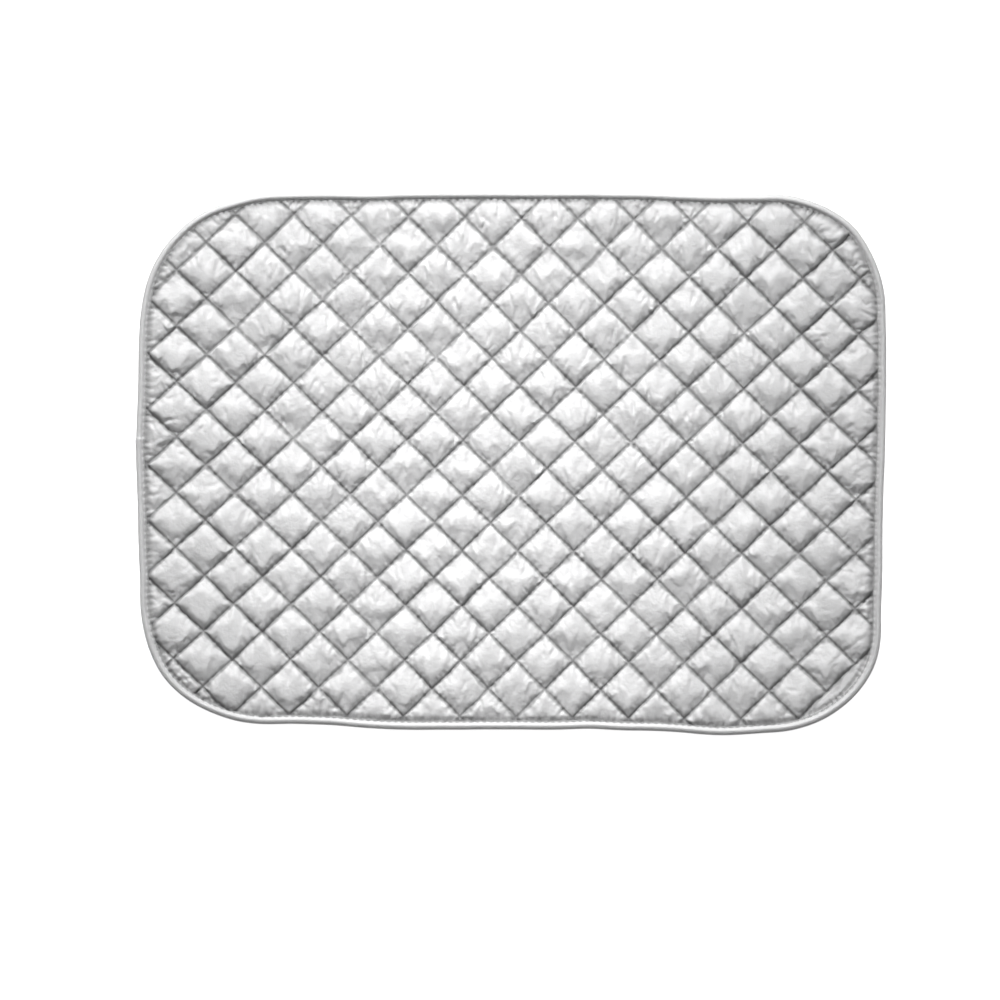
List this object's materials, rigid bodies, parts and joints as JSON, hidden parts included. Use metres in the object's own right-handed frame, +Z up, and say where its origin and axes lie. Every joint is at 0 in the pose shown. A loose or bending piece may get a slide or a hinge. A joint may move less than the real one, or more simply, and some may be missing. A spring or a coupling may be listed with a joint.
{
  "type": "portable ironing mat",
  "caption": "Flat diamond-quilted ironing mat with large rounded corners, a metallised cloth face, a padded core, a plain backing and a bound edge.",
  "frame": {"origin": "centre of the underside, on the surface that the mat lies on", "axes": "+X along the mat's length, to the right in the picture; +Y across it, to the back edge at the top of the picture; +Z up through the pad, out of the quilted face"},
  "size_m": [0.7, 0.505, 0.008],
  "materials": {
    "metallised_cloth": "woven cloth with a thin aluminium coating, satin silver-white sheen",
    "wadding_fleece": "soft white polyester fleece, matt",
    "backing_cloth": "plain woven cotton blend, matt light grey",
    "binding_tape": "folded bias tape of the same metallised cloth, a little duller",
    "quilting_thread": "spun polyester sewing thread, light grey",
    "binding_thread": "spun polyester sewing thread, light grey"
  },
  "bodies": {
    "root": {"top_cover": "metallised_cloth", "wadding": "wadding_fleece", "back_cover": "backing_cloth", "edge_binding": "binding_tape", "binding_needle_thread": "binding_thread", "binding_bobbin_thread": "binding_thread", "quilting_thread_rising_01": "quilting_thread", "quilting_thread_rising_02": "quilting_thread", "quilting_thread_rising_03": "quilting_thread", "quilting_thread_rising_04": "quilting_thread", "quilting_thread_rising_05": "quilting_thread", "quilting_thread_rising_06": "quilting_thread", "quilting_thread_rising_07": "quilting_thread", "quilting_thread_rising_08": "quilting_thread", "quilting_thread_rising_09": "quilting_thread", "quilting_thread_rising_10": "quilting_thread", "quilting_thread_rising_11": "quilting_thread", "quilting_thread_rising_12": "quilting_thread", "quilting_thread_rising_13": "quilting_thread", "quilting_thread_rising_14": "quilting_thread", "quilting_thread_rising_15": "quilting_thread", "quilting_thread_rising_16": "quilting_thread", "quilting_thread_rising_17": "quilting_thread", "quilting_thread_rising_18": "quilting_thread", "quilting_thread_rising_19": "quilting_thread", "quilting_thread_rising_20": "quilting_thread", "quilting_thread_falling_01": "quilting_thread", "quilting_thread_falling_02": "quilting_thread", "quilting_thread_falling_03": "quilting_thread", "quilting_thread_falling_04": "quilting_thread", "quilting_thread_falling_05": "quilting_thread", "quilting_thread_falling_06": "quilting_thread", "quilting_thread_falling_07": "quilting_thread", "quilting_thread_falling_08": "quilting_thread", "quilting_thread_falling_09": "quilting_thread", "quilting_thread_falling_10": "quilting_thread", "quilting_thread_falling_11": "quilting_thread", "quilting_thread_falling_12": "quilting_thread", "quilting_thread_falling_13": "quilting_thread", "quilting_thread_falling_14": "quilting_thread", "quilting_thread_falling_15": "quilting_thread", "quilting_thread_falling_16": "quilting_thread", "quilting_thread_falling_17": "quilting_thread", "quilting_thread_falling_18": "quilting_thread", "quilting_thread_falling_19": "quilting_thread", "quilting_thread_falling_20": "quilting_thread"}
  },
  "joints": []
}
